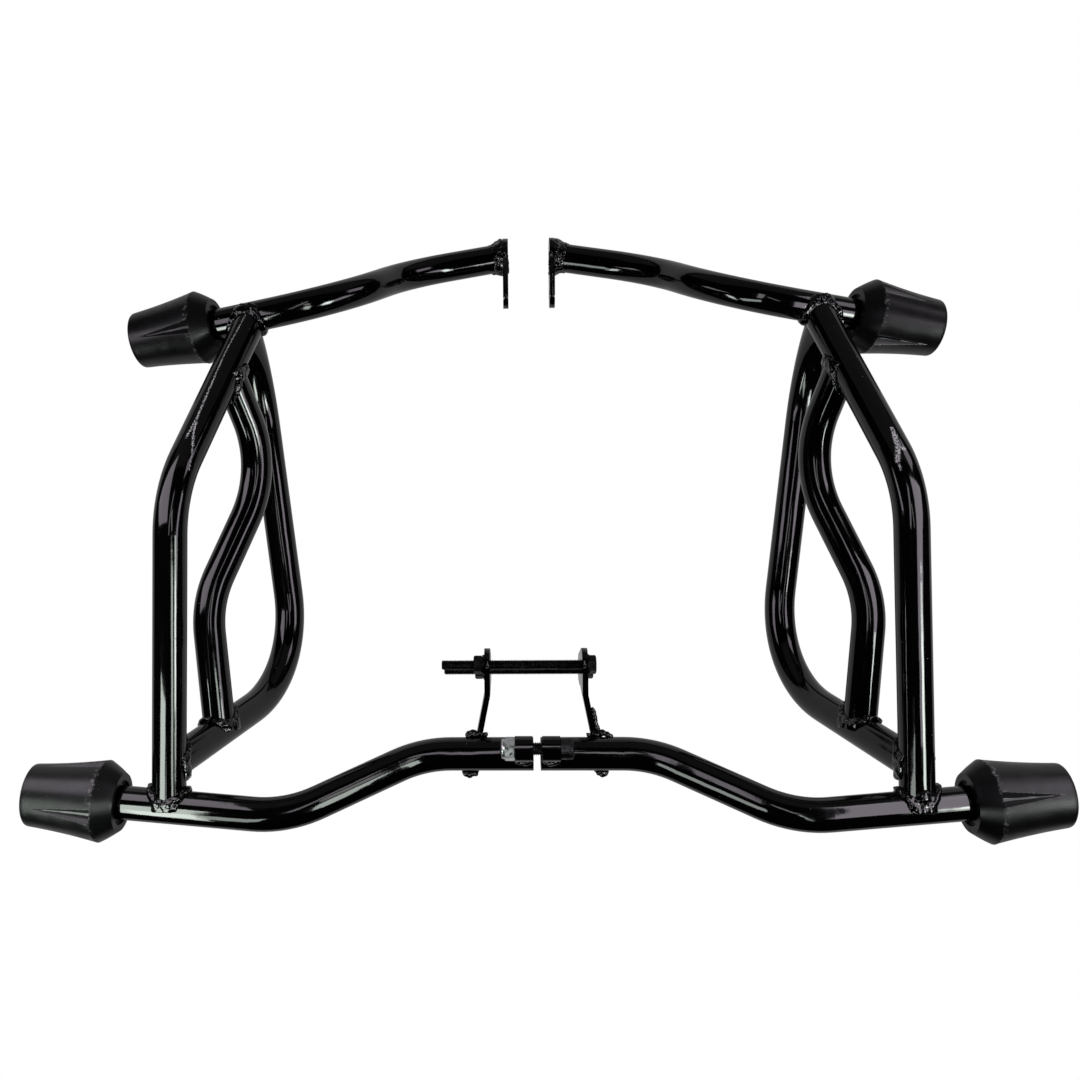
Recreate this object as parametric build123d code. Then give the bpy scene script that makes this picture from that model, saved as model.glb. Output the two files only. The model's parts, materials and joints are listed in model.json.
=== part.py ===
from build123d import *
from math import cos, pi, radians, tan
import os

os.makedirs("parts", exist_ok=True)

# Motorcycle crash bars: two mirror-image weldments of round steel tube, bolted together under the engine.
# X runs across the motorcycle, +Y to the rear, +Z up. All sizes are in millimetres.
# The origin lies on the front engine bolt, in the plane of symmetry.
# The points below belong to the right half and are measured from that origin.

# Tube stock
TUBE_OD = 25.4
TUBE_WALL = 2.0
BEND_RADIUS = 3.5 * TUBE_OD
FIT_UP_GAP = 0.1
BEAD_LEG = 3.2
BEAD_SPREAD = 3.6
BEAD_SKIN = 0.05

# Lower cross tube: level at the middle, then dropped and brought forward, then nearly level to the slider
CROSS_Y = -20.0
CROSS_Z = -65.0
HALVES_GAP = 5.6
CROSS_BEND_X = 87.5
CROSS_DROP_X = 187.5
CROSS_DROP = 37.5
CROSS_FORWARD = 36.0
CROSS_FOOT_TO_END = 106.0
CROSS_END_DROP = 23.5
CROSS_END_FORWARD = 27.0

# Upper tube: from the frame plate outward, with an S-bend that brings it forward
PLATE_GAP = 37.2
PLATE_AXIS_Y = 175.0
PLATE_AXIS_Z = 339.5
UPPER_IN_X = 108.0
UPPER_IN_FORWARD = 19.5
UPPER_IN_DROP = 16.0
UPPER_OUT_X = 160.5
UPPER_OUT_FORWARD = 114.5
UPPER_OUT_DROP = 48.0
UPPER_END_X = 331.0
UPPER_END_FORWARD = 90.5
UPPER_END_DROP = 77.0

# Upright: foot on the cross tube, one bend, top against the front of the upper tube
UPRIGHT_FOOT_X = 277.0
UPRIGHT_BEND_X = 270.5
UPRIGHT_BEND_Y = -46.0
UPRIGHT_BEND_Z = 141.0
UPRIGHT_TOP_X = 231.5

# Inner tube: hangs from the back of the upper tube and comes forward to the upright
INNER_TOP_X = 240.5
INNER_HIGH_X = 240.5
INNER_HIGH_Y = 131.5
INNER_HIGH_Z = 233.5
INNER_LOW_X = 208.0
INNER_LOW_Y = 117.0
INNER_LOW_Z = -33.0
INNER_FOOT_Z = -65.0

# S-bent brace between the upright and the inner tube
BRACE_TOP_Z = 234.0
BRACE_HIGH_X = 219.5
BRACE_HIGH_Y = 59.5
BRACE_HIGH_Z = 153.0
BRACE_LOW_X = 262.5
BRACE_LOW_Y = 16.5
BRACE_LOW_Z = 48.0
BRACE_FOOT_SHARE = 0.65

# Sliders, moulded boots on the outer ends of the cross and upper tubes
SLIDER_LENGTH = 70.0
SLIDER_END_DIA = 46.5
SLIDER_FLARE_DIA = 61.0
SLIDER_FACE_DIA = 43.0
SLIDER_CONE = 13.5
SLIDER_TAPER_SAG = 0.8
SLIDER_NOSE_RADIUS = 2.5
SLIDER_FLARE_RADIUS = 1.2
SLIDER_CAP = 15.0
SLIDER_RECESS_DIA = 33.0
SLIDER_RECESS_DEPTH = 3.0
FLUTES = 3
FLUTE_DEPTH = 7.5
FLUTE_HALF_ANGLE = 52.0
FLUTE_START = 9.0
LOWER_FLUTE_TURN = -14.0
UPPER_FLUTE_TURN = 8.0

# Frame plate on the inner end of the upper tube
PLATE_THICK = 4.8
PLATE_TOP_RADIUS = 17.0
PLATE_HOLE_DROP = 33.0
PLATE_HOLE_RADIUS = 13.0
PLATE_HOLE_DIA = 10.5

# Engine tab behind the cross tube, with two bolt holes
TAB_THICK = 4.5
TAB_BEND_RADIUS = 2 * TAB_THICK
TAB_INNER_X = 35.5
TAB_SPLAY = 12.5
TAB_KINK_Z = -21.0
TAB_FOOT_Z = -83.0
TAB_STEM_WIDTH = 28.0
TAB_EYE_RADIUS = 13.0
TAB_CORNER_RADIUS = 5.0
TAB_HOLE_DIA = 9.0
REAR_BOLT_Y = 34.0
REAR_BOLT_Z = -11.0

# Bushes that clamp the two halves together, on the front of the cross tube ends
BUSH_DIA = 19.0
BUSH_LENGTH = 13.4
BUSH_BORE = 10.5
BUSH_RISE = 9.5
BUSH_SETBACK = 0.8

# Fasteners
BOLT_M8 = 8.0
M8_LENGTH = 115.0
M8_HEAD_AF = 13.0
M8_HEAD_HEIGHT = 5.3
M8_NUT_HEIGHT = 6.8
WASHER_DIA = 16.0
WASHER_BORE = 8.4
WASHER_THICK = 1.6
BOLT_M10 = 10.0
M10_HEAD_DIA = 16.0
M10_HEAD_HEIGHT = 10.0
M10_SOCKET_AF = 8.0
M10_SOCKET_DEPTH = 5.0
M10_NUT_AF = 16.0
M10_NUT_HEIGHT = 10.0
M10_COLLAR_DIA = 14.6
M10_COLLAR_HEIGHT = 2.4
M10_LENGTH = 45.0
BEVEL = 1.0

TUBE_R = TUBE_OD / 2
REACH = 3 * TUBE_OD
BOLT_EYES = [(0.0, 0.0), (REAR_BOLT_Y, REAR_BOLT_Z)]
tab_outer_x = TAB_INNER_X + TAB_THICK


def along(start, end, share):
    return start + (end - start) * share


def at_x(start, end, x):
    return along(start, end, (x - start.X) / (end.X - start.X))


def at_z(start, end, z):
    return along(start, end, (z - start.Z) / (end.Z - start.Z))


def heading(start, end):
    return (end - start).normalized()


def drawn_back(start, end, length):
    return end - heading(start, end) * length


def route(points):
    if len(points) == 2:
        return Line(*points)
    return FilletPolyline(*points, radius=BEND_RADIUS)


def swept(points, section):
    path = route(points)
    return sweep(Plane(origin=path @ 0, z_dir=path % 0) * section, path=path)


def rod(points, grow):
    return swept(points, Circle(TUBE_R + grow))


def tube(points):
    return swept(points, Circle(TUBE_R) - Circle(TUBE_R - TUBE_WALL))


def bar(start, direction, radius, length):
    place = Plane(origin=start, z_dir=direction)
    return place * Cylinder(radius, length, align=(Align.CENTER, Align.CENTER, Align.MIN))


def across(radius, length, x, y, z):
    """Round bar along X that starts at x."""
    return bar(Vector(x, y, z), Vector(1, 0, 0), radius, length)


def below_plate(x, forward, drop):
    """Point of the upper tube, placed from the tube's middle at the frame plate."""
    return Vector(x, PLATE_AXIS_Y - forward, PLATE_AXIS_Z - drop)


# Bend points of the five tubes, each from its inner or upper end
cross_points = [
    Vector(HALVES_GAP / 2, CROSS_Y, CROSS_Z),
    Vector(CROSS_BEND_X, CROSS_Y, CROSS_Z),
    Vector(CROSS_DROP_X, CROSS_Y - CROSS_FORWARD, CROSS_Z - CROSS_DROP),
    Vector(UPRIGHT_FOOT_X + CROSS_FOOT_TO_END, CROSS_Y - CROSS_END_FORWARD, CROSS_Z - CROSS_END_DROP),
]
plate_outer_x = PLATE_GAP / 2 + PLATE_THICK
plate_axis = Vector(plate_outer_x, PLATE_AXIS_Y, PLATE_AXIS_Z)
upper_bend_in = below_plate(UPPER_IN_X, UPPER_IN_FORWARD, UPPER_IN_DROP)
upper_points = [
    at_x(plate_axis, upper_bend_in, PLATE_GAP / 2),
    upper_bend_in,
    below_plate(UPPER_OUT_X, UPPER_OUT_FORWARD, UPPER_OUT_DROP),
    below_plate(UPPER_END_X, UPPER_END_FORWARD, UPPER_END_DROP),
]
upright_points = [
    at_x(cross_points[2], cross_points[3], UPRIGHT_FOOT_X),
    Vector(UPRIGHT_BEND_X, UPRIGHT_BEND_Y, UPRIGHT_BEND_Z),
    at_x(upper_points[2], upper_points[3], UPRIGHT_TOP_X),
]
inner_points = [
    at_x(upper_points[2], upper_points[3], INNER_TOP_X),
    Vector(INNER_HIGH_X, INNER_HIGH_Y, INNER_HIGH_Z),
    Vector(INNER_LOW_X, INNER_LOW_Y, INNER_LOW_Z),
    at_z(upright_points[0], upright_points[1], INNER_FOOT_Z),
]
brace_points = [
    at_z(upright_points[1], upright_points[2], BRACE_TOP_Z),
    Vector(BRACE_HIGH_X, BRACE_HIGH_Y, BRACE_HIGH_Z),
    Vector(BRACE_LOW_X, BRACE_LOW_Y, BRACE_LOW_Z),
    along(inner_points[2], inner_points[3], BRACE_FOOT_SHARE),
]
cross_route = cross_points[:3] + [drawn_back(cross_points[2], cross_points[3], SLIDER_CAP)]
upper_route = upper_points[:3] + [drawn_back(upper_points[2], upper_points[3], SLIDER_CAP)]

cross_cope = rod(cross_route, FIT_UP_GAP)
upper_cope = rod(upper_route, FIT_UP_GAP)
upright_cope = rod(upright_points, FIT_UP_GAP)
inner_cope = rod(inner_points, FIT_UP_GAP)

plate_side = Pos(plate_outer_x - REACH / 2, PLATE_AXIS_Y, PLATE_AXIS_Z) * Box(REACH, REACH, REACH)
cross_tube = tube(cross_route)
upper_tube = tube(upper_route) - plate_side
upright_tube = tube(upright_points) - cross_cope - upper_cope
inner_tube = tube(inner_points) - upper_cope - upright_cope
brace_tube = tube(brace_points) - upright_cope - inner_cope


def slider():
    """Boot along +Z with its closed nose at the origin and its mouth on the tube side."""
    flare_z = SLIDER_LENGTH - SLIDER_CONE
    nose = (SLIDER_END_DIA / 2, 0)
    flare = (SLIDER_FLARE_DIA / 2, flare_z)
    face = (SLIDER_FACE_DIA / 2, SLIDER_LENGTH)
    middle = ((nose[0] + flare[0]) / 2 - SLIDER_TAPER_SAG, flare_z / 2)
    rim = SLIDER_LENGTH - SLIDER_RECESS_DEPTH
    outline = [
        Line((0, 0), nose),
        ThreePointArc(nose, middle, flare),
        Polyline(
            flare,
            face,
            (SLIDER_RECESS_DIA / 2, SLIDER_LENGTH),
            (SLIDER_RECESS_DIA / 2, rim),
            (TUBE_R, rim),
            (TUBE_R, SLIDER_CAP),
            (0, SLIDER_CAP),
            (0, 0),
        ),
    ]
    half = make_face(outline)
    corners = half.vertices()
    half = fillet(corners.sort_by_distance(nose)[0], SLIDER_NOSE_RADIUS)
    half = fillet(half.vertices().sort_by_distance(flare)[0], SLIDER_FLARE_RADIUS)
    boot = revolve(Plane.XZ * half, Axis.Z)
    for turn in range(FLUTES):
        boot -= Rot(0, 0, turn * 360 / FLUTES) * flute(flare_z)
    return boot


def flute(flare_z):
    """V cutter that runs out near the nose and is deepest past the flare."""
    slope = (SLIDER_FLARE_DIA - SLIDER_END_DIA) / 2 / flare_z
    start_r = SLIDER_END_DIA / 2 + slope * FLUTE_START
    deep_r = SLIDER_FLARE_DIA / 2 - FLUTE_DEPTH
    fall = (deep_r - start_r) / (flare_z - FLUTE_START)
    end_r = deep_r + fall * SLIDER_CONE
    rise = SLIDER_FLARE_DIA / 2
    wide = rise * tan(radians(FLUTE_HALF_ANGLE))
    corners = [(start_r, 0), (start_r + rise, wide), (start_r + rise, -wide)]
    vee = Pos(0, 0, FLUTE_START) * make_face(Polyline(*corners, close=True))
    root_run = Vector(end_r - start_r, 0, SLIDER_LENGTH - FLUTE_START)
    return extrude(vee, amount=root_run.length, dir=root_run.normalized())


def slider_on(points, turn):
    inward = heading(points[3], points[2])
    seat = Plane(origin=points[3], x_dir=(0, -1, 0), z_dir=inward)
    return seat * Rot(0, 0, turn) * slider()


lower_slider = slider_on(cross_points, LOWER_FLUTE_TURN)
upper_slider = slider_on(upper_points, UPPER_FLUTE_TURN)


def teardrop_plate():
    """Teardrop plate round the tube end, with its bolt hole below."""
    big = Circle(PLATE_TOP_RADIUS)
    small = Pos(0, -PLATE_HOLE_DROP) * Circle(PLATE_HOLE_RADIUS)
    profile = make_hull(big.edges() + small.edges())
    profile -= Pos(0, -PLATE_HOLE_DROP) * Circle(PLATE_HOLE_DIA / 2)
    face = Plane(origin=(PLATE_GAP / 2, PLATE_AXIS_Y, PLATE_AXIS_Z), x_dir=(0, 1, 0), z_dir=(1, 0, 0))
    return extrude(face * profile, PLATE_THICK)


frame_plate = teardrop_plate()


def tab_blank(grow=0.0):
    """Bent strip with two bolt eyes, joggled outward below them; it can be grown all round."""
    rounds = [Pos(y, z) * Circle(TAB_EYE_RADIUS) for y, z in BOLT_EYES]
    profile = make_hull(rounds[0].edges() + rounds[1].edges())
    profile += Pos(0, TAB_FOOT_Z / 2) * Rectangle(TAB_STEM_WIDTH, -TAB_FOOT_Z)
    profile = fillet(profile.vertices().sort_by(Axis.Y)[:2], TAB_CORNER_RADIUS)
    if grow:
        profile = offset(profile, grow)
    side = Plane(origin=(0, 0, 0), x_dir=(0, 1, 0), z_dir=(1, 0, 0))
    centre_x = TAB_INNER_X + TAB_THICK / 2
    bend_line = FilletPolyline(
        Vector(centre_x, 0, 2 * TAB_EYE_RADIUS),
        Vector(centre_x, 0, TAB_KINK_Z),
        Vector(centre_x + TAB_SPLAY, 0, TAB_FOOT_Z),
        Vector(centre_x + TAB_SPLAY, 0, TAB_FOOT_Z - TAB_EYE_RADIUS),
        radius=TAB_BEND_RADIUS,
    )
    strip = Rectangle(TAB_THICK + 2 * grow, 4 * REACH)
    at_top = Plane(origin=bend_line @ 0, x_dir=(1, 0, 0), z_dir=bend_line % 0)
    return extrude(side * profile, REACH) & sweep(at_top * strip, path=bend_line)


engine_tab = tab_blank() - cross_cope
for eye_y, eye_z in BOLT_EYES:
    engine_tab -= across(TAB_HOLE_DIA / 2, REACH, 0, eye_y, eye_z)

# Bush on the front of the cross tube end, held off far enough for the nut to turn
bush_reach = TUBE_R + BUSH_DIA / 2
bush_y = CROSS_Y - (bush_reach**2 - BUSH_RISE**2) ** 0.5
bush_z = CROSS_Z + BUSH_RISE
bush_x = HALVES_GAP / 2 + BUSH_SETBACK
bush_end_x = bush_x + BUSH_LENGTH
joint_bush = across(BUSH_DIA / 2, BUSH_LENGTH, bush_x, bush_y, bush_z) - cross_cope
joint_bush -= across(BUSH_BORE / 2, REACH, 0, bush_y, bush_z)


def saddle_bead(end, branch, header):
    """Collar of weld metal in the corner where a branch tube lands on a header tube."""
    start = end - header * REACH
    throat = bar(end, branch, TUBE_R + BEAD_SPREAD, REACH) & bar(start, header, TUBE_R + BEAD_LEG, 2 * REACH)
    throat -= bar(start, header, TUBE_R + BEAD_SKIN, 2 * REACH)
    return throat - bar(end, branch, TUBE_R + 2 * BEAD_SKIN, REACH)


cross_leg = heading(cross_points[2], cross_points[3])
upper_leg = heading(upper_points[2], upper_points[3])
upright_leg = heading(upright_points[0], upright_points[1])
upright_lean = heading(upright_points[1], upright_points[2])
inner_leg = heading(inner_points[2], inner_points[3])
cross_skin = rod(cross_route, BEAD_SKIN)
upper_skin = rod(upper_route, BEAD_SKIN)
upright_skin = rod(upright_points, BEAD_SKIN)
inner_skin = rod(inner_points, BEAD_SKIN)
foot_weld = saddle_bead(upright_points[0], upright_leg, cross_leg)
top_weld = saddle_bead(upright_points[2], upright_lean * -1, upper_leg) - upper_skin - inner_skin
inner_top_weld = saddle_bead(inner_points[0], heading(inner_points[0], inner_points[1]), upper_leg)
inner_top_weld = inner_top_weld - upper_skin - upright_skin - top_weld
inner_foot_weld = saddle_bead(inner_points[3], inner_leg * -1, upright_leg) - cross_skin - foot_weld
brace_top_weld = saddle_bead(brace_points[0], heading(brace_points[0], brace_points[1]), upright_lean)
brace_foot_weld = saddle_bead(brace_points[3], heading(brace_points[3], brace_points[2]), inner_leg)
tube_welds = [foot_weld, top_weld, inner_top_weld, inner_foot_weld, brace_top_weld, brace_foot_weld]

cross_grown = rod(cross_route, BEAD_LEG)
plate_face = Pos(plate_outer_x + BEAD_LEG / 2, PLATE_AXIS_Y, PLATE_AXIS_Z) * Box(BEAD_LEG, REACH, REACH)
plate_weld = (rod(upper_route, BEAD_LEG) & plate_face) - upper_skin
tab_weld = (tab_blank(BEAD_LEG) & cross_grown) - cross_skin - tab_blank(BEAD_SKIN)
bush_grown = across(BUSH_DIA / 2 + BEAD_LEG, BUSH_LENGTH, bush_x, bush_y, bush_z)
bush_skin = across(BUSH_DIA / 2 + BEAD_SKIN, BUSH_LENGTH, bush_x, bush_y, bush_z)
bush_weld = (bush_grown & cross_grown) - cross_skin - bush_skin


def hexagon(flats, height, x, y, z):
    """Hexagonal prism along X from x."""
    place = Plane(origin=(x, y, z), x_dir=(0, 0, 1), z_dir=(1, 0, 0))
    return place * extrude(RegularPolygon(flats / 2, 6, major_radius=False), height)


def bevelled_hexagon(flats, height, x, y, z, ends):
    """Hexagonal prism with its corners turned off on the given ends."""
    turned = across(flats / 2 / cos(pi / 6), height, x, y, z)
    rims = turned.edges().filter_by(GeomType.CIRCLE).sort_by(Axis.X)
    turned = chamfer([rims[end] for end in ends], BEVEL)
    return hexagon(flats, height, x, y, z) & turned


def shank(diameter, start_x, end_x, y, z):
    """Bolt shank from start_x down to a bevelled tip at end_x."""
    body = bar(Vector(start_x, y, z), Vector(-1, 0, 0), diameter / 2, start_x - end_x)
    tip = body.edges().filter_by(GeomType.CIRCLE).sort_by(Axis.X)[0]
    return chamfer(tip, BEVEL)


def engine_bolt(y, z):
    seat = tab_outer_x + WASHER_THICK
    head = bevelled_hexagon(M8_HEAD_AF, M8_HEAD_HEIGHT, seat, y, z, [-1])
    return head + shank(BOLT_M8, seat, seat - M8_LENGTH, y, z)


def engine_nut(y, z):
    start = -tab_outer_x - WASHER_THICK - M8_NUT_HEIGHT
    nut = bevelled_hexagon(M8_HEAD_AF, M8_NUT_HEIGHT, start, y, z, [0, -1])
    return nut - across(BOLT_M8 / 2, M8_NUT_HEIGHT, start, y, z)


def washer(x, y, z):
    ring = across(WASHER_DIA / 2, WASHER_THICK, x, y, z)
    return ring - across(WASHER_BORE / 2, WASHER_THICK, x, y, z)


def joint_bolt():
    """Cap screw with a hexagon socket, through both bushes."""
    head = across(M10_HEAD_DIA / 2, M10_HEAD_HEIGHT, bush_end_x, bush_y, bush_z)
    head = chamfer(head.edges().filter_by(GeomType.CIRCLE).sort_by(Axis.X)[-1], BEVEL)
    socket_x = bush_end_x + M10_HEAD_HEIGHT - M10_SOCKET_DEPTH
    head -= hexagon(M10_SOCKET_AF, M10_SOCKET_DEPTH, socket_x, bush_y, bush_z)
    return head + shank(BOLT_M10, bush_end_x, bush_end_x - M10_LENGTH, bush_y, bush_z)


def joint_nut():
    """Locking nut with a rounded collar on its outer end."""
    hex_height = M10_NUT_HEIGHT - M10_COLLAR_HEIGHT
    collar = across(M10_COLLAR_DIA / 2, M10_NUT_HEIGHT, -bush_end_x - M10_NUT_HEIGHT, bush_y, bush_z)
    collar = fillet(collar.edges().filter_by(GeomType.CIRCLE).sort_by(Axis.X)[0], BEVEL)
    flats = bevelled_hexagon(M10_NUT_AF, hex_height, -bush_end_x - hex_height, bush_y, bush_z, [0, -1])
    nut = collar + flats
    return nut - across(BOLT_M10 / 2, M10_NUT_HEIGHT, -bush_end_x - M10_NUT_HEIGHT, bush_y, bush_z)


def group(shapes):
    return Compound(children=[solid for shape in shapes for solid in shape.solids()])


def main_bodies(shapes):
    """The largest solid of each shape, without the crumbs that two beads leave between them."""
    return [shape.solids().sort_by(SortBy.VOLUME)[-1] for shape in shapes]


half = {
    "cross_tube": cross_tube,
    "upper_tube": upper_tube,
    "upright_tube": upright_tube,
    "inner_tube": inner_tube,
    "brace_tube": brace_tube,
    "lower_slider": lower_slider,
    "upper_slider": upper_slider,
    "frame_plate": frame_plate,
    "engine_tab": engine_tab,
    "joint_bush": joint_bush,
    "tube_welds": group(main_bodies(tube_welds)),
    "plate_weld": group([plate_weld]),
    "tab_weld": group([tab_weld]),
    "bush_weld": group([bush_weld]),
}
washers = [washer(x, y, z) for x in (tab_outer_x, -tab_outer_x - WASHER_THICK) for y, z in BOLT_EYES]
middle = {
    "joint_bolt": joint_bolt(),
    "joint_nut": joint_nut(),
    "engine_bolts": group([engine_bolt(y, z) for y, z in BOLT_EYES]),
    "engine_nuts": group([engine_nut(y, z) for y, z in BOLT_EYES]),
    "engine_washers": group(washers),
}
for name, shape in half.items():
    export_step(shape, f"parts/right_{name}.step")
    export_step(mirror(shape, about=Plane.YZ), f"parts/left_{name}.step")
for name, shape in middle.items():
    export_step(shape, f"parts/{name}.step")
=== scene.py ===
import json
import math
import random

import bmesh
import bpy
from mathutils import Matrix, Vector


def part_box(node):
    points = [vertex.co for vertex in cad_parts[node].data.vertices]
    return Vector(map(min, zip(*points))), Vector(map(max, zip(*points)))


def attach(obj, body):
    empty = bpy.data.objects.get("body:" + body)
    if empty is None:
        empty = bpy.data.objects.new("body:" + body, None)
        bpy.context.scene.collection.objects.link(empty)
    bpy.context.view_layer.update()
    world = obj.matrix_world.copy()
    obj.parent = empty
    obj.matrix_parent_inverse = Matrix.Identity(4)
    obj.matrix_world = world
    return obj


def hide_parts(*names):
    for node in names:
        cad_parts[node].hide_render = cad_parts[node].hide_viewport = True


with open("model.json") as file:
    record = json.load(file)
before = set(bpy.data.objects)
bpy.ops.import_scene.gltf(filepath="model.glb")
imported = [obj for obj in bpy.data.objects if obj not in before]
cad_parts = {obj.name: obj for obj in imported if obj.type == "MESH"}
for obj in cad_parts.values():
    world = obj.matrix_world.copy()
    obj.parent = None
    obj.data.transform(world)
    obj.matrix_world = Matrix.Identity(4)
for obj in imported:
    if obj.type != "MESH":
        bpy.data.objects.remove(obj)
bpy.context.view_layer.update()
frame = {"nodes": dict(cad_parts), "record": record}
cad = frame["nodes"]
MM = 0.001
SIDES = {"left": -1, "right": 1}
FRONT = Vector((0, -1, 0))
UP = Vector((0, 0, 1))

# Camera, in the part's frame; the photograph is cropped, so the lens axis isn't its middle
CAMERA_PLACE = Vector((-18.6, -888, 183.5)) * MM
CAMERA_YAW = math.radians(-2.37)
CAMERA_PITCH = math.radians(4.23)
CAMERA_ROLL = math.radians(-0.72)
CAMERA_LENS = 38.33
CAMERA_SENSOR = 36.0
FRAME_PIXELS = 1080
LENS_AXIS_LEFT = 77
LENS_AXIS_UP = 25

# Studio: a white stage, soft boxes in front of the part and a weak one overhead
FLOOR_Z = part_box("right_lower_slider")[0].z
FLOOR_HALF = 6.0
FLOOR_GLOSS = 0.0
WALL_Y = 1.6
WALL_GLOSS = 0.42
WORLD_GREY = 0.004
LILAC = (1.02, 0.93, 1.05)
MINT = (0.96, 1.06, 0.98)
WHITE = (1.0, 1.0, 1.0)
# Each soft box: place, turn and tilt of its facing in degrees, width and height, radiance, colour
SOFT_BOXES = (
    ((0.50, -0.45, 0.05), (-10, -45), (0.30, 0.70), 4.0, LILAC),
    ((-0.60, -0.25, 0.25), (-5, -55), (0.60, 0.30), 3.0, LILAC),
    ((-0.05, -0.90, 0.35), (55, -25), (0.15, 0.55), 3.0, LILAC),
    ((-0.55, -1.10, -0.65), (75, -15), (0.90, 0.55), 5.5, MINT),
    ((-0.45, -0.30, -0.20), (-20, 15), (0.25, 0.30), 12.0, MINT),
    ((0.25, -0.95, -0.20), (-90, -10), (0.45, 0.45), 8.5, MINT),
    ((0.15, -0.95, 0.25), (-65, -30), (0.15, 0.30), 3.0, WHITE),
    ((0.80, -0.90, -0.15), (-50, 40), (0.25, 0.40), 10.0, MINT),
    ((0.65, -0.25, 0.70), (-65, -40), (0.30, 0.25), 2.5, LILAC),
    ((0.80, -0.85, -0.25), (-20, 30), (0.25, 0.40), 9.0, MINT),
)
OVERHEAD = ((0.0, -0.55, 2.2), (0, -90), (3.4, 1.9), 0.09, WHITE)

# Coat: colours, roughness from smooth to dull, and heights of its relief
COAT_BLACK = (0.0009, 0.0009, 0.0010, 1)
DUST_GREY = (0.16, 0.16, 0.165, 1)
MARK_GREY = (0.48, 0.48, 0.48, 1)
COAT_ROUGHNESS = (0.06, 0.115)
WELD_ROUGHNESS = (0.06, 0.16)
MARK_ROUGHNESS = 0.55
MARK_SHAKE = 1.6 * MM
COAT_WAVE = 0.25 * MM
COAT_PEEL = 0.012 * MM
WELD_RIPPLE = 0.12 * MM

# Marks in the coat, as start, end and half width in mm
LEFT_SCRATCH = (
    ((-233.5, 54.0, 279.5), (-244.4, 27.8, 248.3), 0.8),
    ((-244.4, 27.8, 248.3), (-252.4, -0.7, 214.5), 0.9),
    ((-252.4, -0.7, 214.5), (-256.6, -16.4, 195.9), 1.1),
    ((-256.6, -16.4, 195.9), (-262.0, -29.3, 180.5), 1.1),
    ((-256.6, -16.4, 195.9), (-257.3, -26.2, 183.5), 1.1),
    ((-257.3, -26.2, 183.5), (-256.4, -32.0, 174.5), 1.2),
    ((-256.4, -32.0, 174.5), (-257.0, -41.6, 156.6), 0.9),
)
RIGHT_SCUFF = (
    ((262.0, -28.9, 181.0), (262.6, -32.9, 176.2), 1.8),
    ((262.6, -32.9, 176.2), (263.1, -39.4, 167.4), 2.7),
    ((263.1, -39.4, 167.4), (261.2, -44.9, 157.2), 2.5),
    ((263.1, -39.4, 167.4), (267.0, -40.6, 165.7), 2.0),
    ((261.2, -44.9, 157.2), (262.5, -48.1, 150.8), 1.0),
)

# Moulded plastic: colours, roughness, sheen behind the ridge and on the fluted side, heights of its
# relief, and the depths under the ridge where the wear starts and where it is full
SLIDER_BLACK = (0.0035, 0.0035, 0.0037, 1)
SLIDER_CLOUD = (0.0055, 0.0055, 0.0058, 1)
SLIDER_WORN = (0.10, 0.10, 0.10, 1)
SLIDER_ROUGHNESS = (0.27, 0.38)
SLIDER_SHEEN = (0.2, 0.37)
SLIDER_GRAIN = 0.02 * MM
SLIDER_DENTS = 0.10 * MM
RIDGE_WEAR = (0.9 * MM, 0.2 * MM)

# Steel finishes: rubbed colour, dark colour and roughness
BLACK_OXIDE = ((0.022, 0.022, 0.022, 1), (0.007, 0.007, 0.008, 1), 0.42)
WORN_OXIDE = ((0.075, 0.075, 0.077, 1), (0.028, 0.028, 0.030, 1), 0.46)
BRIGHT_ZINC = ((0.97, 0.98, 0.99, 1), (0.80, 0.82, 0.84, 1), 0.30)
STEEL_SMOOTHER = 0.07
STEEL_DULLER = 0.09
STEEL_GRAIN = 0.02 * MM

# Weld beads: fineness, smoothing, and swells as size, height and level of no change;
# corners within the merge grid are one corner
BEAD_VOXEL = 0.45 * MM
BEAD_FLOW_STEPS = 14
BEAD_FLOW_SHARE = 0.5
BEAD_SWELLS = ((6.0 * MM, 2.4 * MM, 0.38), (2.6 * MM, 0.6 * MM, 0.5))
BALL_FINENESS = 2
MERGE_GRID = 0.001 * MM

# Weld at a frame plate: rings of balls on a hollow cone that falls from the plate to the tube,
# along the run of the right upper tube from its plate
TUBE_RADIUS = 12.7 * MM
PLATE_RUN = Vector((84.6, -19.5, -16.0)).normalized()
CONE_LENGTH = 10.5 * MM
CONE_RISE = 4.1 * MM
CONE_HOLLOW = 1.25
CONE_RINGS = 9
CONE_BALLS = 44
CONE_BALL_RADII = (1.3 * MM, 1.9 * MM)
CONE_SHAKE = 0.45 * MM
CONE_SEED = 20

# Lumps of weld metal as x, y, z and radius in mm: at the foot of the right upright, on the tabs,
# which share one y, and on the right bush, with mirrored ones on the left
FOOT_LUMP = (277.0, -63.0, -85.0, 5.4)
TAB_LUMP_Y = -17.5
TAB_LUMPS = {
    "left": (
        (-54.5, -80.8, 2.6),
        (-51.5, -81.6, 3.0),
        (-48.0, -81.0, 2.7),
        (-52.5, -50.8, 2.6),
        (-49.0, -49.8, 2.9),
        (-45.5, -50.2, 2.5),
    ),
    "right": (
        (47.5, -80.6, 2.2),
        (50.0, -81.2, 2.5),
        (52.5, -80.8, 2.2),
        (50.5, -49.5, 2.8),
        (54.0, -50.5, 2.5),
        (57.0, -51.8, 2.0),
    ),
}
BUSH_LUMPS = (
    (6.5, -34.6, -67.0, 2.1),
    (9.5, -34.4, -67.9, 2.6),
    (12.8, -34.6, -67.4, 2.2),
    (15.6, -34.8, -66.8, 1.9),
)

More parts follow.
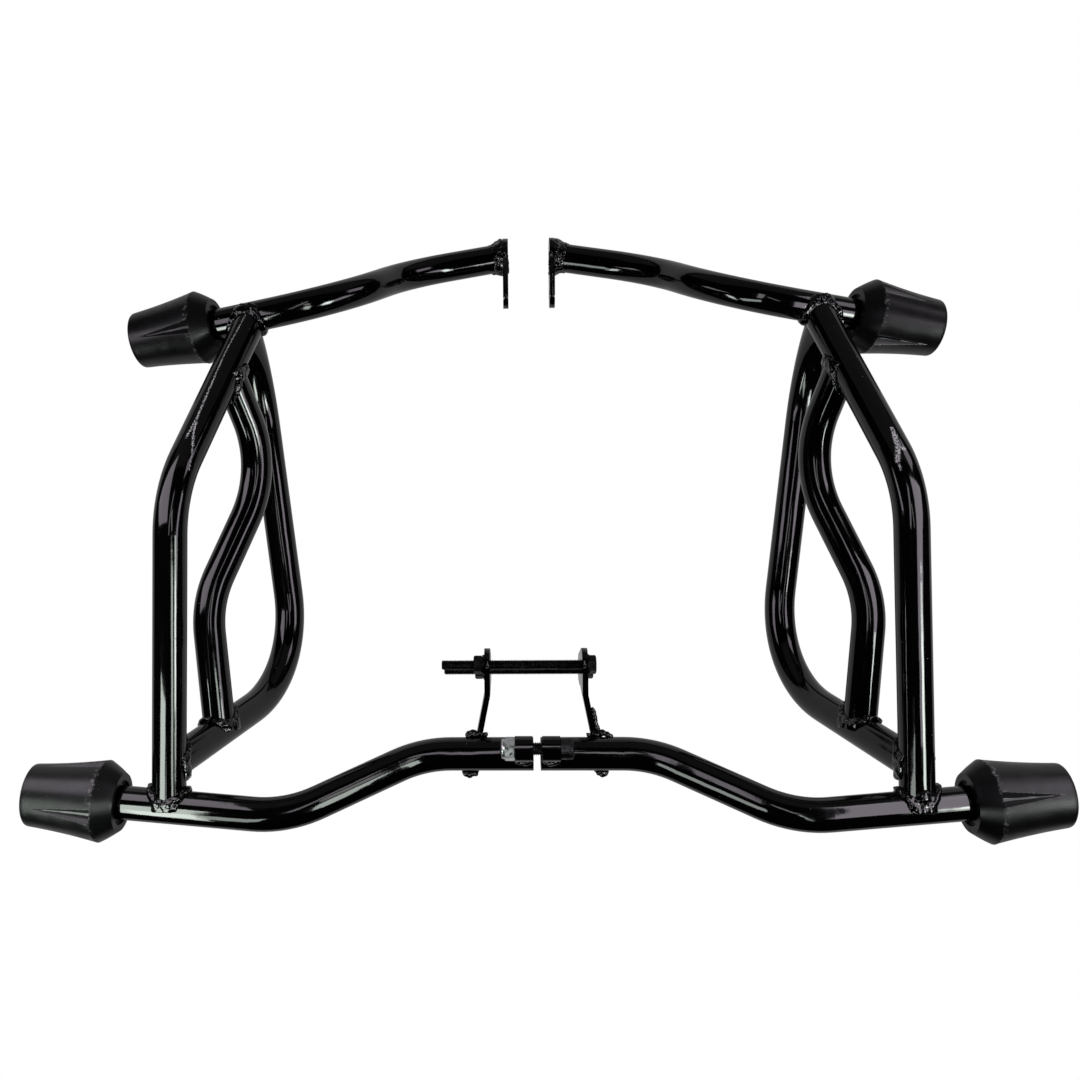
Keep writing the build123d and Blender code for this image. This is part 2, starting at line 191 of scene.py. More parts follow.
# Weld run down the outer edge of the right tab
TAB_RUN_TOP = Vector((43.4, -12.6, -32.0)) * MM
TAB_RUN_FOOT = Vector((47.2, -12.6, -50.5)) * MM
TAB_RUN_BALLS = 9
TAB_RUN_RADII = (1.6 * MM, 2.3 * MM)
TAB_RUN_SEED = 31

# Edges of the plates and tabs
PLATE_MERGE = 0.01 * MM
PLATE_EDGE = 0.5 * MM
PLATE_EDGE_STEPS = 2
PLATE_CREASE = 40

# Sliders: the boot's profile along its axis from the nose
SLIDER_LENGTH = 70.0 * MM
SLIDER_END_RADIUS = 23.25 * MM
SLIDER_FLARE_RADIUS = 30.5 * MM
SLIDER_FACE_RADIUS = 21.5 * MM
SLIDER_FLARE_AT = 56.5 * MM
SLIDER_SAG = 0.8 * MM
SLIDER_NOSE_ROUND = 1.4 * MM
SLIDER_CROWN = 0.35 * MM
SLIDER_FACE_EDGE = 1.2 * MM
SLIDER_RECESS_RADIUS = 16.5 * MM
SLIDER_RECESS_DEPTH = 3.0 * MM
SLIDER_RECESS_EDGE = 0.4 * MM
SLIDER_BORE_RADIUS = 12.75 * MM
SLIDER_CAP = 15.0 * MM
SLIDER_CREASE = 32
NOSE_RINGS = (0.25, 0.6)
NOSE_STEPS = 6
SKIN_STEPS = 56
FLARE_STEPS = 10
SHEEN_STEP = 1.0 * MM
FLAT_END_CLOSENESS = (0.9, 0.99, 0.9999)

# Sliders: four pocket flutes each, turned about the axis as each boot was pushed on
FLUTES = 4
FLUTE_FROM = 9.0 * MM
FLUTE_TO = 55.4 * MM
FLUTE_WIDTH = 11.4 * MM
FLUTE_DEPTH = 5.6 * MM
FLUTE_WALL = 0.9 * MM
FLUTE_STEEPNESS = 1.3
FLUTE_COLUMNS = 26
PLAIN_COLUMNS = 20
FLUTE_SECTOR = math.radians(22)
FLUTE_TURNS = {
    "left_lower_slider": math.radians(-6),
    "right_lower_slider": math.radians(20),
    "left_upper_slider": math.radians(-1),
    "right_upper_slider": math.radians(-43),
}

# Fasteners; a lip and a head's round face are shares of the flats, a thread's depth is one of the pitch
M8_DIAMETER = 8.0 * MM
M8_PITCH = 1.25 * MM
M8_FLATS = 13.0 * MM
M8_HEAD = 5.3 * MM
M10_DIAMETER = 10.0 * MM
M10_PITCH = 1.5 * MM
M10_HEAD = 10.0 * MM
M10_SOCKET_FLATS = 8.0 * MM
M10_SOCKET_DEPTH = 5.0 * MM
SOCKET_LIP = 1.25
BEVEL = 1.0 * MM
# Rounding of the cap head's rim: drops below the top and steps in from the side, in bevels
CAP_ROUND = ((1.0, 0.0), (0.25, 0.7), (0.0, 1.4))
HEXAGON_SECTOR = math.radians(60)
HEAD_FACE = 0.95
HEAD_SLOPE = math.tan(math.radians(30))
THREAD_DEPTH = 0.54
THREAD_FLANK = 2.5
THREAD_STEPS = 8
THREAD_SIDES = 32
TURNED_SIDES = 72
BOLT_CREASE = 40


class Graph:
    """A material's nodes, written as formulas of the place in the part's frame."""

    MIX_COLOURS = (6, 7)
    MIX_RESULT = 2

    def __init__(self, name):
        self.material = bpy.data.materials.new(name)
        self.material.use_nodes = True
        self.tree = self.material.node_tree
        self.shader = self.tree.nodes["Principled BSDF"]
        self.place = self.tree.nodes.new("ShaderNodeTexCoord").outputs["Object"]

    def feed(self, socket, value):
        if isinstance(value, bpy.types.NodeSocket):
            self.tree.links.new(value, socket)
        else:
            socket.default_value = value

    def set(self, name, value):
        self.feed(self.shader.inputs[name], value)

    def math(self, operation, *values):
        node = self.tree.nodes.new("ShaderNodeMath")
        node.operation = operation
        for socket, value in zip(node.inputs, values):
            self.feed(socket, value)
        return node.outputs[0]

    def vector(self, operation, *values, scale=None):
        node = self.tree.nodes.new("ShaderNodeVectorMath")
        node.operation = operation
        for socket, value in zip(node.inputs, values):
            self.feed(socket, value)
        if scale is not None:
            self.feed(node.inputs["Scale"], scale)
        return node.outputs["Value" if operation in ("DOT_PRODUCT", "DISTANCE") else "Vector"]

    def noise(self, scale, detail=2.0, colour=False):
        node = self.tree.nodes.new("ShaderNodeTexNoise")
        node.inputs["Scale"].default_value = scale
        node.inputs["Detail"].default_value = detail
        self.feed(node.inputs["Vector"], self.place)
        return node.outputs["Color" if colour else "Fac"]

    def spread(self, value, low, high, start=0.0, end=1.0):
        """Smooth step of a value between two levels."""
        node = self.tree.nodes.new("ShaderNodeMapRange")
        node.interpolation_type = "SMOOTHSTEP"
        for name, item in (("From Min", low), ("From Max", high), ("To Min", start), ("To Max", end)):
            node.inputs[name].default_value = item
        self.feed(node.inputs["Value"], value)
        return node.outputs["Result"]

    def specks(self, scale, size, share):
        """Small round dots, on a share of the cells."""
        node = self.tree.nodes.new("ShaderNodeTexVoronoi")
        node.inputs["Scale"].default_value = scale
        self.feed(node.inputs["Vector"], self.place)
        chance = self.vector("DOT_PRODUCT", node.outputs["Color"], (1, 0, 0))
        chosen = self.math("LESS_THAN", chance, share)
        dot = self.spread(node.outputs["Distance"], low=size / 2, high=size, start=1.0, end=0.0)
        return self.math("MULTIPLY", chosen, dot)

    def shaken(self, scale, amount):
        """The place, pushed about by a noise."""
        push = self.vector("SUBTRACT", self.noise(scale, colour=True), (0.5, 0.5, 0.5))
        return self.vector("ADD", self.place, self.vector("SCALE", push, scale=amount))

    def stroke(self, place, start, end, width):
        """1 on the line between two points and 0 beyond its width."""
        run = end - start
        offset = self.vector("SUBTRACT", place, start)
        share = self.math("DIVIDE", self.vector("DOT_PRODUCT", offset, run), run.length_squared)
        share = self.math("MINIMUM", self.math("MAXIMUM", share, 0.0), 1.0)
        gap = self.vector("DISTANCE", offset, self.vector("SCALE", run, scale=share))
        return self.spread(gap, low=width / 3, high=width, start=1.0, end=0.0)

    def strongest(self, *masks):
        top = masks[0]
        for mask in masks[1:]:
            top = self.math("MAXIMUM", top, mask)
        return top

    def mixed(self, share, *colours):
        node = self.tree.nodes.new("ShaderNodeMix")
        node.data_type = "RGBA"
        self.feed(node.inputs["Factor"], share)
        for socket, colour in zip(self.MIX_COLOURS, colours):
            self.feed(node.inputs[socket], colour)
        return node.outputs[self.MIX_RESULT]

    def bump(self, height, distance, under=None):
        node = self.tree.nodes.new("ShaderNodeBump")
        node.inputs["Strength"].default_value = 1.0
        node.inputs["Distance"].default_value = distance
        self.feed(node.inputs["Height"], height)
        if under:
            self.feed(node.inputs["Normal"], under)
        return node.outputs["Normal"]


def coat_material(name, strokes=()):
    """Gloss black powder coat: orange peel, uneven gloss, dust specks and scuffed strokes."""
    graph = Graph(name)
    dust = graph.specks(scale=240, size=0.10, share=0.10)
    marks = 0.0
    if strokes:
        shaken = graph.shaken(scale=900, amount=MARK_SHAKE)
        patchy = graph.spread(graph.noise(scale=800, detail=5), low=0.38, high=0.56)
        lines = [graph.stroke(shaken, Vector(a) * MM, Vector(b) * MM, width * MM) for a, b, width in strokes]
        marks = graph.math("MULTIPLY", graph.strongest(*lines), patchy)
    dusty = graph.mixed(dust, COAT_BLACK, DUST_GREY)
    graph.set("Base Color", graph.mixed(marks, dusty, MARK_GREY))
    gloss = graph.spread(graph.noise(scale=55, detail=4), 0.30, 0.72, *COAT_ROUGHNESS)
    matt = graph.math("MULTIPLY", graph.strongest(dust, marks), MARK_ROUGHNESS)
    graph.set("Roughness", graph.math("MAXIMUM", gloss, matt))
    wave = graph.bump(graph.noise(scale=45, detail=1), COAT_WAVE)
    graph.set("Normal", graph.bump(graph.noise(scale=420), COAT_PEEL, under=wave))
    return graph.material


def weld_material(name):
    """The coat over weld metal: uneven gloss, dust specks and fine ripple."""
    graph = Graph(name)
    dust = graph.specks(scale=300, size=0.14, share=0.12)
    graph.set("Base Color", graph.mixed(dust, COAT_BLACK, DUST_GREY))
    graph.set("Roughness", graph.spread(graph.noise(scale=160, detail=3), 0.3, 0.7, *WELD_ROUGHNESS))
    graph.set("Normal", graph.bump(graph.noise(scale=330), WELD_RIPPLE))
    return graph.material


def slider_material(name, nose, axis):
    """Satin moulded plastic: fine grain, soft dents, dust specks and wear along the ridge of the flare."""
    graph = Graph(name)
    offset = graph.vector("SUBTRACT", graph.place, nose)
    along = graph.vector("DOT_PRODUCT", offset, axis)
    radius = graph.vector("DISTANCE", offset, graph.vector("SCALE", axis, scale=along))
    wear_from, wear_full = (SLIDER_FLARE_RADIUS - depth for depth in RIDGE_WEAR)
    ridge = graph.spread(radius, low=wear_from, high=wear_full)
    chips = graph.spread(graph.noise(scale=380, detail=5), low=0.52, high=0.66)
    worn = graph.math("MULTIPLY", ridge, chips)
    dust = graph.specks(scale=260, size=0.10, share=0.10)
    cloud = graph.mixed(graph.noise(scale=60, detail=4), SLIDER_BLACK, SLIDER_CLOUD)
    graph.set("Base Color", graph.mixed(graph.strongest(worn, dust), cloud, SLIDER_WORN))
    graph.set("Roughness", graph.spread(graph.noise(scale=90, detail=5), 0.25, 0.75, *SLIDER_ROUGHNESS))
    flare = -SLIDER_FLARE_AT
    graph.set("Specular IOR Level", graph.spread(along, flare - SHEEN_STEP, flare, *SLIDER_SHEEN))
    grain = graph.bump(graph.noise(scale=1900, detail=3), SLIDER_GRAIN)
    graph.set("Normal", graph.bump(graph.noise(scale=110, detail=3), SLIDER_DENTS, under=grain))
    return graph.material


def steel_material(name, light, dark, roughness):
    """Plated or blackened steel with rubbed blotches, uneven sheen and fine grain."""
    graph = Graph(name)
    graph.set("Metallic", 1.0)
    rubbed = graph.spread(graph.noise(scale=420, detail=5), low=0.35, high=0.68)
    graph.set("Base Color", graph.mixed(rubbed, dark, light))
    ends = (roughness - STEEL_SMOOTHER, roughness + STEEL_DULLER)
    graph.set("Roughness", graph.spread(graph.noise(scale=260, detail=4), 0.3, 0.7, *ends))
    graph.set("Normal", graph.bump(graph.noise(scale=1500, detail=3), STEEL_GRAIN))
    return graph.material


def clamped(value):
    return min(1.0, max(0.0, value))


def grid_place(place):
    """A place on a fine grid, the same for corners that meet."""
    return tuple(round(c / MERGE_GRID) for c in place)


def square_to(direction, *axes):
    """A direction with its parts along some axes taken off."""
    for axis in axes:
        direction = direction - axis * axis.dot(direction)
    return direction.normalized()


def solids_of(name):
    """The triangles of each separate solid in a node, as corner places."""
    node = cad[name]
    mesh = node.data
    mesh.calc_loop_triangles()
    known = {}
    merged = []
    for vertex in mesh.vertices:
        merged.append(known.setdefault(grid_place(node.matrix_world @ vertex.co), len(known)))
    leader = list(range(len(known)))

    def head(i):
        while leader[i] != i:
            leader[i] = leader[leader[i]]
            i = leader[i]
        return i

    for triangle in mesh.loop_triangles:
        a, b, c = (head(merged[v]) for v in triangle.vertices)
        leader[b] = a
        leader[head(c)] = a
    solids = {}
    for triangle in mesh.loop_triangles:
        corners = [node.matrix_world @ mesh.vertices[v].co for v in triangle.vertices]
        solids.setdefault(head(merged[triangle.vertices[0]]), []).append(corners)
    return list(solids.values())


def box_of(triangles):
    points = [corner for triangle in triangles for corner in triangle]
    low = Vector([min(p[k] for p in points) for k in range(3)])
    high = Vector([max(p[k] for p in points) for k in range(3)])
    return low, high


def flat_end(name):
    """Middle and outward direction of the flat face on a node's outer end."""
    low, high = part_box(name)
    outward = Vector((math.copysign(1, low.x + high.x), 0, 0))
    triangles = [triangle for solid in solids_of(name) for triangle in solid]
    for closeness in FLAT_END_CLOSENESS:
        total = Vector()
        moment = Vector()
        area = 0.0
        for a, b, c in triangles:
            cross = (b - a).cross(c - a)
            if cross.dot(outward) > closeness * cross.length > 0:
                total += cross
                moment += (a + b + c) / 3 * cross.length
                area += cross.length
        outward = total.normalized()
    return moment / area, outward


def mesh_of(name, bm):
    mesh = bpy.data.meshes.new(name)
    bm.to_mesh(mesh)
    bm.free()
    return mesh


def new_piece(name, mesh, material, slot, *replaced):
    mesh.materials.append(material)
    piece = bpy.data.objects.new(name, mesh)
    bpy.context.collection.objects.link(piece)
    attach(piece, "root")
    if replaced:
        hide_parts(*replaced)
    return piece


def finish_edges(piece, crease):
    """Smooth shading, with edges kept sharp beyond an angle in degrees."""
    piece.data.set_sharp_from_angle(angle=math.radians(crease))
    for polygon in piece.data.polygons:
        polygon.use_smooth = True


def ball_shape():
    """Corners and faces of a ball of radius 1."""
    bm = bmesh.new()
    bmesh.ops.create_icosphere(bm, subdivisions=BALL_FINENESS, radius=1.0)
    corners = [vertex.co.copy() for vertex in bm.verts]
    faces = [[vertex.index for vertex in face.verts] for face in bm.faces]
    bm.free()
    return corners, faces


BALL_CORNERS, BALL_FACES = ball_shape()


def bead_mesh(name, balls, collars):
    """Plain collars and some balls of weld metal, in one mesh."""
    known = {}
    faces = []
    for triangles in collars:
        for triangle in triangles:
            keys = [grid_place(corner) for corner in triangle]
            if len(set(keys)) == 3:
                faces.append([known.setdefault(key, len(known)) for key in keys])
    places = [Vector(key) * MERGE_GRID for key in known]
    for point, radius in balls:
        start = len(places)
        places += [point + corner * radius for corner in BALL_CORNERS]
        faces += [[start + v for v in face] for face in BALL_FACES]
    mesh = bpy.data.meshes.new(name)
    mesh.from_pydata(places, [], faces)
    return mesh


def bead_piece(name, material, balls, collars, *replaced):
    """Weld run: collars and balls run together, smoothed, then swollen unevenly."""
    piece = new_piece(name, bead_mesh(name, balls, collars), material, "gloss_black", *replaced)
    remesh = piece.modifiers.new("run_together", "REMESH")
    remesh.mode = "VOXEL"
    remesh.voxel_size = BEAD_VOXEL
    remesh.use_smooth_shade = True
    flow = piece.modifiers.new("flow", "SMOOTH")
    flow.factor = BEAD_FLOW_SHARE
    flow.iterations = BEAD_FLOW_STEPS
    for size, height, level in BEAD_SWELLS:
        lumps = bpy.data.textures.new(name + "_lumps", "CLOUDS")
        lumps.noise_scale = size
        lumps.noise_depth = 1
        swell = piece.modifiers.new("swell", "DISPLACE")
        swell.texture = lumps
        swell.texture_coords = "LOCAL"
        swell.strength = height
        swell.mid_level = level


def lump(x, y, z, radius):
    """A ball of weld metal, from its place and radius in mm."""
    return Vector((x, y, z)) * MM, radius * MM


def plate_cone(name, sign):
    """Balls of weld metal that fall away from the plate's face to the tube."""
    rng = random.Random(CONE_SEED + sign)
    low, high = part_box(name)
    face = low.x if sign > 0 else high.x
    start = Vector((face, (low.y + high.y) / 2, (low.z + high.z) / 2))
    run = Vector((sign * PLATE_RUN.x, PLATE_RUN.y, PLATE_RUN.z))
    out = UP.cross(run).normalized()
    above = run.cross(out)
    balls = []
    for i in range(CONE_RINGS):
        share = i / (CONE_RINGS - 1)
        skin = TUBE_RADIUS + CONE_RISE * (1 - share) ** CONE_HOLLOW
        for j in range(CONE_BALLS):
            turn = 2 * math.pi * (j + i / 2) / CONE_BALLS
            radius = rng.uniform(*CONE_BALL_RADII)
            spoke = out * math.cos(turn) + above * math.sin(turn)
            reach = skin - radius + rng.uniform(-1, 1) * CONE_SHAKE
            balls.append((start + run * CONE_LENGTH * share + spoke * reach, radius))
    return balls


def tab_run():
    """Balls of weld metal down the outer edge of the right tab."""
    rng = random.Random(TAB_RUN_SEED)
    balls = []
    for i in range(TAB_RUN_BALLS):
        share = i / (TAB_RUN_BALLS - 1)
        balls.append((TAB_RUN_TOP.lerp(TAB_RUN_FOOT, share), rng.uniform(*TAB_RUN_RADII)))
    return balls


def weld_beads(side, sign, material):
    """The beads of one half, each in the place of its plain weld."""
    welds = f"{side}_tube_welds"
    lumps = [lump(*FOOT_LUMP)] if side == "right" else []
    bead_piece(welds + "_bead", material, lumps, solids_of(welds), welds)
    plate = f"{side}_plate_weld"
    bead_piece(plate + "_bead", material, plate_cone(plate, sign), [], plate)
    tab = f"{side}_tab_weld"
    lumps = [lump(x, TAB_LUMP_Y, z, radius) for x, z, radius in TAB_LUMPS[side]]
    bead_piece(tab + "_bead", material, lumps, solids_of(tab), tab)
    bush = f"{side}_bush_weld"
    lumps = [lump(sign * x, y, z, radius) for x, y, z, radius in BUSH_LUMPS]
    bead_piece(bush + "_bead", material, lumps, solids_of(bush), bush)


def round_edges(node):
    """Small rounded edges on a plate."""
    joined = node.modifiers.new("joined", "WELD")
    joined.merge_threshold = PLATE_MERGE
    rounded = node.modifiers.new("rounded", "BEVEL")
    rounded.width = PLATE_EDGE
    rounded.segments = PLATE_EDGE_STEPS
    rounded.limit_method = "ANGLE"
    rounded.angle_limit = math.radians(PLATE_CREASE)
    rounded.harden_normals = True


def slider_profile():
    """Places along the axis and radii of a slider's skin, from its nose to the bottom of its bore."""
    nose = SLIDER_NOSE_ROUND
    points = [(0.0, share * SLIDER_END_RADIUS) for share in NOSE_RINGS]
    for i in range(NOSE_STEPS + 1):
        turn = math.pi / 2 * i / NOSE_STEPS
        points.append((nose * (1 - math.cos(turn)), SLIDER_END_RADIUS - nose * (1 - math.sin(turn))))
    for i in range(1, SKIN_STEPS + 1):
        along = nose + (SLIDER_FLARE_AT - nose) * i / SKIN_STEPS
        share = along / SLIDER_FLARE_AT
        straight = SLIDER_END_RADIUS + (SLIDER_FLARE_RADIUS - SLIDER_END_RADIUS) * share
        points.append((along, straight - 4 * SLIDER_SAG * share * (1 - share)))
    for i in range(1, FLARE_STEPS + 1):
        share = i / FLARE_STEPS
        along = SLIDER_FLARE_AT + (SLIDER_LENGTH - SLIDER_FLARE_AT) * share
        radius = SLIDER_FLARE_RADIUS + (SLIDER_FACE_RADIUS - SLIDER_FLARE_RADIUS) * share
        points.append((along, radius + SLIDER_CROWN * math.sin(math.pi * share)))
    mouth = SLIDER_LENGTH - SLIDER_RECESS_DEPTH
    edge = SLIDER_RECESS_EDGE
    points += [
        (SLIDER_LENGTH, SLIDER_FACE_RADIUS - SLIDER_FACE_EDGE),
        (SLIDER_LENGTH, SLIDER_RECESS_RADIUS + edge),
        (SLIDER_LENGTH - edge, SLIDER_RECESS_RADIUS),
        (mouth + edge, SLIDER_RECESS_RADIUS),
        (mouth, SLIDER_RECESS_RADIUS - edge),
        (mouth, SLIDER_BORE_RADIUS),
        (SLIDER_CAP, SLIDER_BORE_RADIUS),
    ]
    return points


def slider_columns(name):
    """Angles about a slider's axis, each with its gap from the middle of a flute."""
    sector = 2 * math.pi / FLUTES
    columns = []
    for turn in range(FLUTES):
        middle = FLUTE_TURNS[name] + turn * sector
        for i in range(FLUTE_COLUMNS):
            gap = FLUTE_SECTOR * (i / FLUTE_COLUMNS - 0.5)
            columns.append((middle + gap, gap))
        for i in range(PLAIN_COLUMNS):
            gap = FLUTE_SECTOR / 2 + (sector - FLUTE_SECTOR) * i / PLAIN_COLUMNS
            columns.append((middle + gap, gap))
    return columns


def flute_depth(along, gap, radius):
    """How deep a pocket flute is at a place along the axis and an angle off its middle."""
    share = (along - FLUTE_FROM) / (FLUTE_TO - FLUTE_FROM)
    on_skin = radius > SLIDER_FACE_RADIUS
    if share <= 0 or along > FLUTE_TO + FLUTE_WALL or not on_skin:
        return 0.0
    widening = min(share, 1.0)
    across = abs(gap) * radius / (FLUTE_WIDTH / 2 * widening)
    floor = clamped(FLUTE_STEEPNESS * (1 - across))
    wall = clamped((FLUTE_TO + FLUTE_WALL - along) / FLUTE_WALL)
    return FLUTE_DEPTH * widening * floor * wall


def slider_piece(name, material):
    """Moulded boot with four flutes that widen from the nose and end at the ridge of the flare."""
    nose, outward = flat_end(name)
    inward = -outward
    front = square_to(FRONT, inward)
    above = square_to(UP, inward, front)
    columns = slider_columns(name)
    bm = bmesh.new()
    loops = []
    for along, radius in slider_profile():
        loop = []
        for angle, gap in columns:
            spoke = front * math.cos(angle) + above * math.sin(angle)
            reach = radius - flute_depth(along, gap, radius)
            loop.append(bm.verts.new(nose + inward * along + spoke * reach))
        loops.append(loop)
    count = len(columns)
    for low, high in zip(loops, loops[1:]):
        for i in range(count):
            j = (i + 1) % count
            bm.faces.new((low[i], low[j], high[j], high[i]))
    for loop in (loops[0], loops[-1]):
        bm.faces.new(loop)
    bmesh.ops.recalc_face_normals(bm, faces=bm.faces)
    piece = new_piece(name + "_boot", mesh_of(name + "_boot", bm), material, "slider_black", name)
    finish_edges(piece, SLIDER_CREASE)


def hexagon_radius(flats):
    """Distance from the middle of a hexagon to its side, by angle."""
    def radius(angle):
        return flats / 2 / math.cos(angle % HEXAGON_SECTOR - HEXAGON_SECTOR / 2)
    return radius


def turned(bm, origin, rings, sides):
    """Closed body about an axis along X; a ring is a place along X and a radius, either of them by angle."""
    loops = []
    for along, radius in rings:
        loop = []
        for i in range(sides):
            angle = 2 * math.pi * i / sides
            x = along(angle) if callable(along) else along
            r = radius(angle) if callable(radius) else radius
            loop.append(bm.verts.new(origin + Vector((x, r * math.sin(angle), r * math.cos(angle)))))
        loops.append(loop)
    for low, high in zip(loops, loops[1:]):
        for i in range(sides):
            j = (i + 1) % sides
            bm.faces.new((low[i], low[j], high[j], high[i]))
    for loop in (loops[0], loops[-1]):
        middle = bm.verts.new(sum((v.co for v in loop), Vector()) / sides)
        for i in range(sides):
            bm.faces.new((loop[i], loop[(i + 1) % sides], middle))


def thread(bm, origin, tip, root, diameter, pitch):
    """Threaded shank along X from its tip to its root under the head."""
    depth = THREAD_DEPTH * pitch
    count = int((root - tip) / pitch * THREAD_STEPS)
    rings = []
    for i in range(count + 1):
        x = tip + (root - tip) * i / count
        bevelled = diameter / 2 - max(0.0, BEVEL - (x - tip))

        def radius(angle, x=x, bevelled=bevelled):
            turn = (x / pitch + angle / (2 * math.pi)) % 1.0
            flank = clamped(THREAD_FLANK * (0.5 - abs(turn - 0.5)))
            return min(bevelled, diameter / 2 - depth * flank)

        rings.append((x, radius))
    turned(bm, origin, rings, THREAD_SIDES)


def hexagon_head(bm, origin, seat, height, flats):
    """Bolt head with its corners turned off."""
    side = hexagon_radius(flats)
    face = flats / 2 * HEAD_FACE
    rings = [
        (seat, face),
        (seat, side),
        (lambda angle: seat + height - (side(angle) - face) * HEAD_SLOPE, side),
        (seat + height, face),
    ]
    turned(bm, origin, rings, TURNED_SIDES)


def socket_head(bm, origin, seat, height, diameter):
    """Cap head with a hexagon socket."""
    socket = hexagon_radius(M10_SOCKET_FLATS)
    top = seat + height
    rings = [(seat, diameter / 2 - BEVEL / 2), (seat + BEVEL / 2, diameter / 2)]
    rings += [(top - drop * BEVEL, diameter / 2 - inset * BEVEL) for drop, inset in CAP_ROUND]
    rings += [
        (top, M10_SOCKET_FLATS / 2 * SOCKET_LIP),
        (top - BEVEL / 3, socket),
        (top - M10_SOCKET_DEPTH, socket),
    ]
    turned(bm, origin, rings, TURNED_SIDES)


def axis_of(low, high):
    """The point in the plane of symmetry on a box's middle line along X."""
    return Vector((0, (low.y + high.y) / 2, (low.z + high.z) / 2))


def engine_bolts(material):
    """The two long hexagon bolts, threaded along their length."""
    bm = bmesh.new()
    for triangles in solids_of("engine_bolts"):
        low, high = box_of(triangles)
        axis = axis_of(low, high)
        seat = high.x - M8_HEAD
        hexagon_head(bm, axis, seat, M8_HEAD, M8_FLATS)
        thread(bm, axis, low.x, seat, M8_DIAMETER, M8_PITCH)
    mesh = mesh_of("engine_bolts", bm)
    piece = new_piece("threaded_engine_bolts", mesh, material, "black_steel", "engine_bolts")
    finish_edges(piece, BOLT_CREASE)


def joint_bolt(material):
    """The cap screw that joins the two bushes."""
    low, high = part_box("joint_bolt")
    axis = axis_of(low, high)
    seat = high.x - M10_HEAD
    bm = bmesh.new()
    socket_head(bm, axis, seat, M10_HEAD, high.z - low.z)
    thread(bm, axis, low.x, seat, M10_DIAMETER, M10_PITCH)
    mesh = mesh_of("joint_bolt", bm)
    piece = new_piece("threaded_joint_bolt", mesh, material, "black_steel", "joint_bolt")
    finish_edges(piece, BOLT_CREASE)


# Materials on the nodes, and the boots
coat = coat_material("gloss_black_coat")
bead_coat = weld_material("coated_weld")
oxide = steel_material("black_oxide", *BLACK_OXIDE)
worn_oxide = steel_material("worn_black_oxide", *WORN_OXIDE)
zinc = steel_material("bright_zinc", *BRIGHT_ZINC)
marked_coats = {
    "left_upright_tube": coat_material("scratched_coat", LEFT_SCRATCH),
    "right_upright_tube": coat_material("scuffed_coat", RIGHT_SCUFF),
}
finishes = {"gloss_black": coat, "black_steel": oxide, "zinc_steel": zinc}
for part in frame["record"]["subparts"]:
    name = part["node"]
    if part["material_slot"] == "slider_black":
        finish = slider_material(f"satin_{name}", *flat_end(name))
        slider_piece(name, finish)
    else:
        finish = marked_coats.get(name) or finishes[part["material_slot"]]
    cad[name].data.materials.clear()
    cad[name].data.materials.append(finish)

# Weld beads, edges of the plates, and bolts
for side, sign in SIDES.items():
    weld_beads(side, sign, bead_coat)
bead_piece("right_tab_edge_run", bead_coat, tab_run(), [])
for side in SIDES:
    for plate in ("frame_plate", "engine_tab"):
        round_edges(cad[f"{side}_{plate}"])
engine_bolts(oxide)
joint_bolt(worn_oxide)


def white_to_camera(tree, shader_kind, output_kind, brightness):
    """White where the camera looks at it, and of a set brightness in reflections."""
    tree.nodes.clear()
    output = tree.nodes.new(output_kind)
    path = tree.nodes.new("ShaderNodeLightPath")
    pick = tree.nodes.new("ShaderNodeMixShader")
    tree.links.new(path.outputs["Is Camera Ray"], pick.inputs["Fac"])
    for socket, strength in ((1, brightness), (2, 1.0)):
        shader = tree.nodes.new(shader_kind)
        shader.inputs["Color"].default_value = (*WHITE, 1)
        shader.inputs["Strength"].default_value = strength
        tree.links.new(shader.outputs[0], pick.inputs[socket])
    tree.links.new(pick.outputs["Shader"], output.inputs["Surface"])


def stage_plane(name, corners, gloss):
    """White sheet of the stage, with a set brightness in reflections."""
    material = bpy.data.materials.new(name + "_white")
    material.use_nodes = True
    white_to_camera(material.node_tree, "ShaderNodeEmission", "ShaderNodeOutputMaterial", gloss)
    mesh = bpy.data.meshes.new(name)
    mesh.from_pydata(corners, [], [(0, 1, 2, 3)])
    mesh.materials.append(material)
    piece = bpy.data.objects.new(name, mesh)
    bpy.context.collection.objects.link(piece)
    return piece


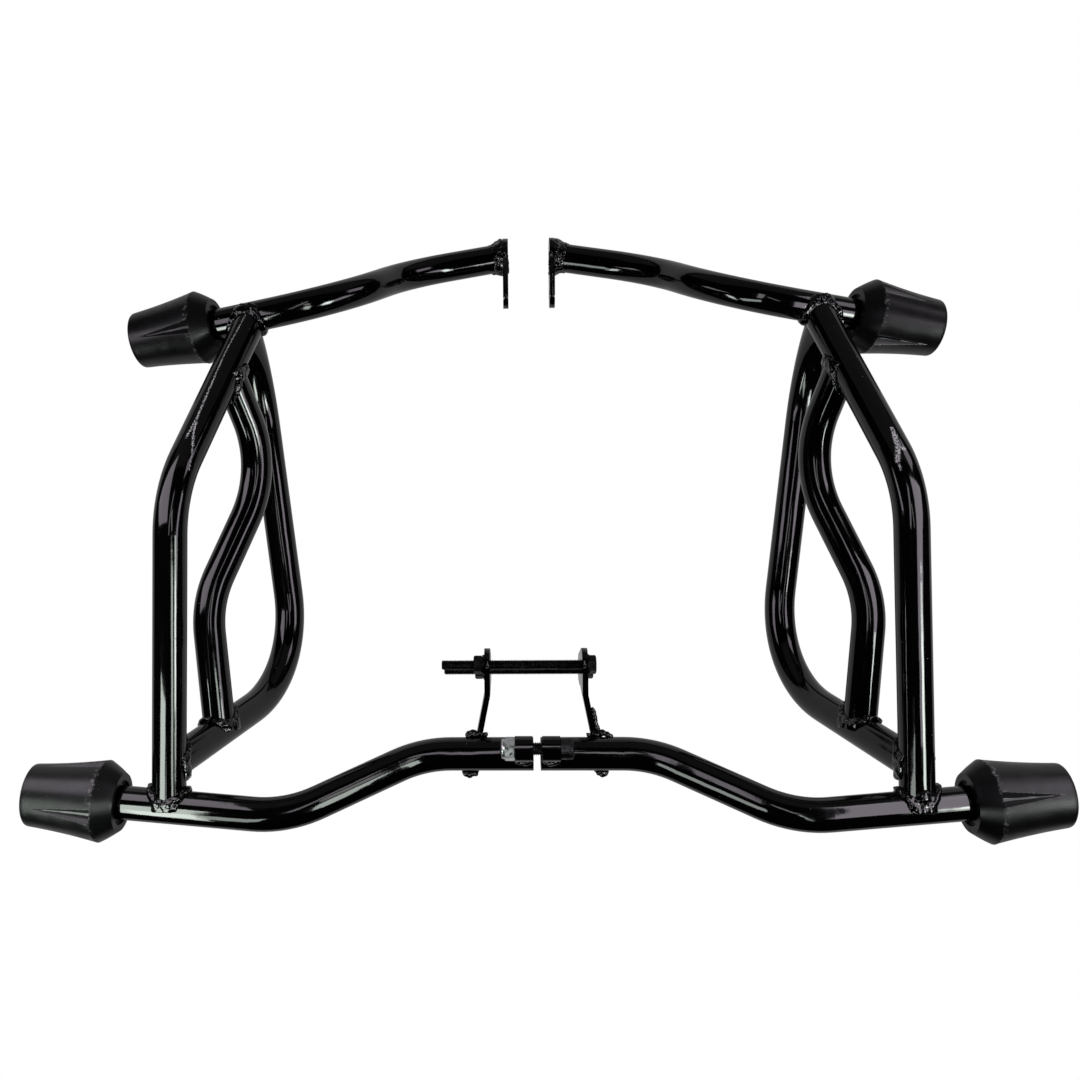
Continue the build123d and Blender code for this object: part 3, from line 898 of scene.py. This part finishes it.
def soft_box(name, place, facing, size, radiance, colour):
    """Rectangle of even light that faces along its turn and tilt, unseen by the camera."""
    turn, tilt = (math.radians(angle) for angle in facing)
    width, height = size
    light = bpy.data.lights.new(name, "AREA")
    light.shape = "RECTANGLE"
    light.size = width
    light.size_y = height
    light.color = colour
    light.energy = radiance * math.pi * width * height
    lamp = bpy.data.objects.new(name, light)
    bpy.context.collection.objects.link(lamp)
    forward = Vector((math.cos(tilt) * math.sin(turn), math.cos(tilt) * math.cos(turn), math.sin(tilt)))
    across = Vector((math.cos(turn), -math.sin(turn), 0))
    axes = Matrix((across, across.cross(forward), -forward)).transposed()
    lamp.matrix_world = Matrix.Translation(Vector(place)) @ axes.to_4x4()
    lamp.visible_camera = False


# Stage and light
half = FLOOR_HALF
square = ((-half, -half), (half, -half), (half, half), (-half, half))
floor = stage_plane("floor", [(x, y, FLOOR_Z) for x, y in square], FLOOR_GLOSS)
floor.visible_glossy = False
wall = stage_plane("wall", [(x, WALL_Y, z) for x, z in square], WALL_GLOSS)
for i, box in enumerate(SOFT_BOXES):
    soft_box(f"soft_box_{i}", *box)
soft_box("overhead", *OVERHEAD)
world = bpy.data.worlds.new("studio")
world.use_nodes = True
white_to_camera(world.node_tree, "ShaderNodeBackground", "ShaderNodeOutputWorld", WORLD_GREY)
bpy.context.scene.world = world

# Camera
forward = Vector(
    (
        math.sin(CAMERA_YAW) * math.cos(CAMERA_PITCH),
        math.cos(CAMERA_YAW) * math.cos(CAMERA_PITCH),
        -math.sin(CAMERA_PITCH),
    )
)
level = Vector((math.cos(CAMERA_YAW), -math.sin(CAMERA_YAW), 0))
above = level.cross(forward)
right = level * math.cos(CAMERA_ROLL) + above * math.sin(CAMERA_ROLL)
up = above * math.cos(CAMERA_ROLL) - level * math.sin(CAMERA_ROLL)
camera_data = bpy.data.cameras.new("camera")
camera_data.lens = CAMERA_LENS
camera_data.sensor_width = CAMERA_SENSOR
camera_data.shift_x = LENS_AXIS_LEFT / FRAME_PIXELS
camera_data.shift_y = -LENS_AXIS_UP / FRAME_PIXELS
camera = bpy.data.objects.new("camera", camera_data)
bpy.context.collection.objects.link(camera)
camera.matrix_world = Matrix.Translation(CAMERA_PLACE) @ Matrix((right, up, -forward)).transposed().to_4x4()
bpy.context.scene.camera = camera
bpy.context.scene.view_settings.view_transform = "Standard"
